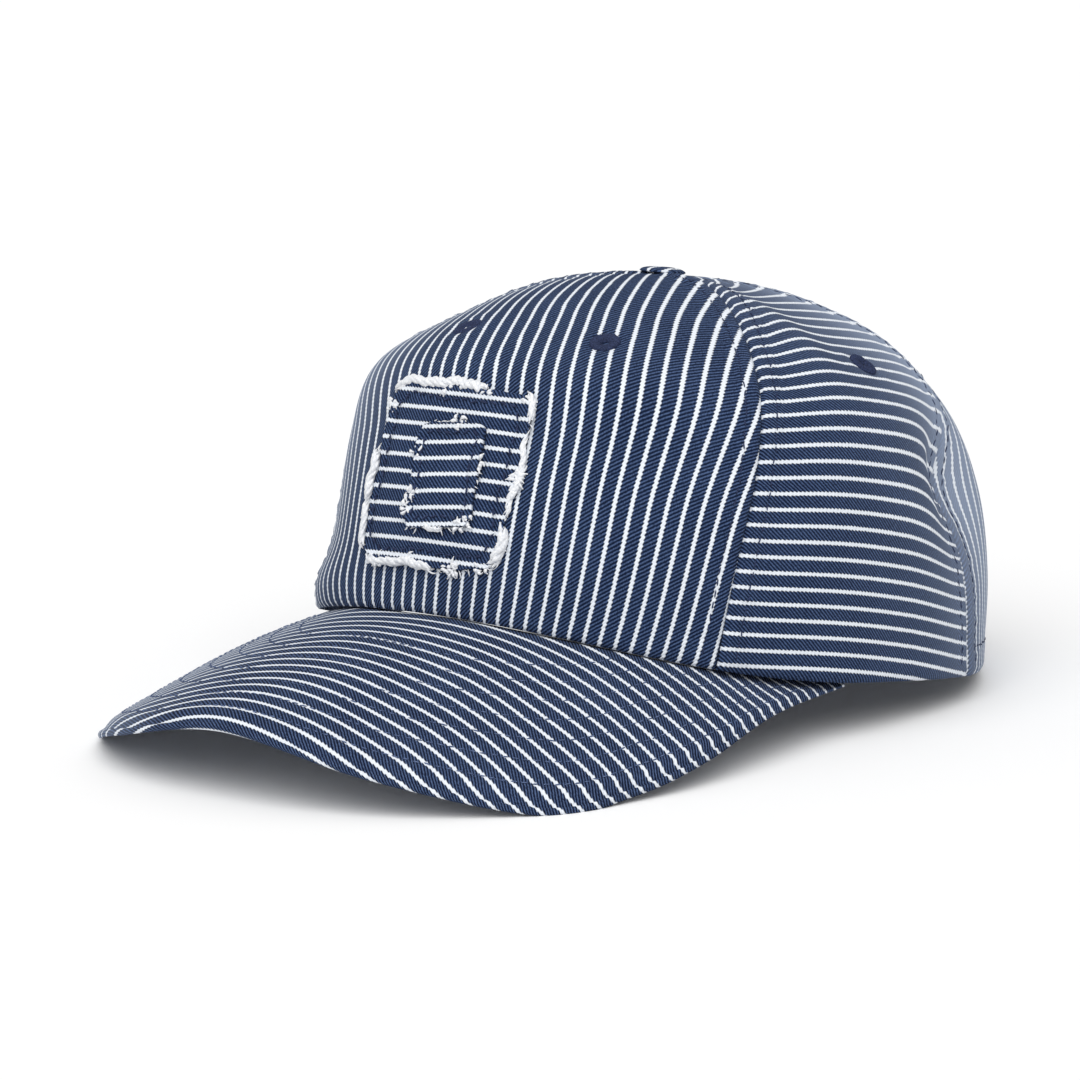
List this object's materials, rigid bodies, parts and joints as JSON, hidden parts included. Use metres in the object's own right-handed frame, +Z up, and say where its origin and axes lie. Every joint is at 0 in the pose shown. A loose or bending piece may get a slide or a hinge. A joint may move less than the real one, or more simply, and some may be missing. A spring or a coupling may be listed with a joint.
{
  "type": "work cap",
  "caption": "Striped denim work cap with one wide front panel, a curved peak, sewn eyelets, a cloth-covered button, a mended front and a strap at the back.",
  "frame": {"origin": "centre of the resting cap's outline, on the surface it rests on", "axes": "+X towards the wearer's left, +Y towards the back of the cap, +Z up; the peak points along -Y"},
  "size_m": [0.167, 0.263, 0.1107],
  "materials": {
    "hickory_denim": "woven, white stripes on navy twill",
    "patch_denim": "woven, raw frayed edges",
    "navy_thread": "close stitching",
    "buckle_metal": "brushed"
  },
  "bodies": {
    "root": {"front_panel": "hickory_denim", "side_panel_left": "hickory_denim", "side_panel_right": "hickory_denim", "back_panel_left": "hickory_denim", "back_panel_right": "hickory_denim", "peak": "hickory_denim", "top_button": "hickory_denim", "eyelet_front_left": "navy_thread", "eyelet_front_right": "navy_thread", "eyelet_side_left": "navy_thread", "eyelet_side_right": "navy_thread", "eyelet_back_left": "navy_thread", "eyelet_back_right": "navy_thread", "front_patch": "patch_denim", "front_patch_inner": "patch_denim", "back_strap": "hickory_denim", "strap_buckle": "buckle_metal"}
  },
  "joints": []
}
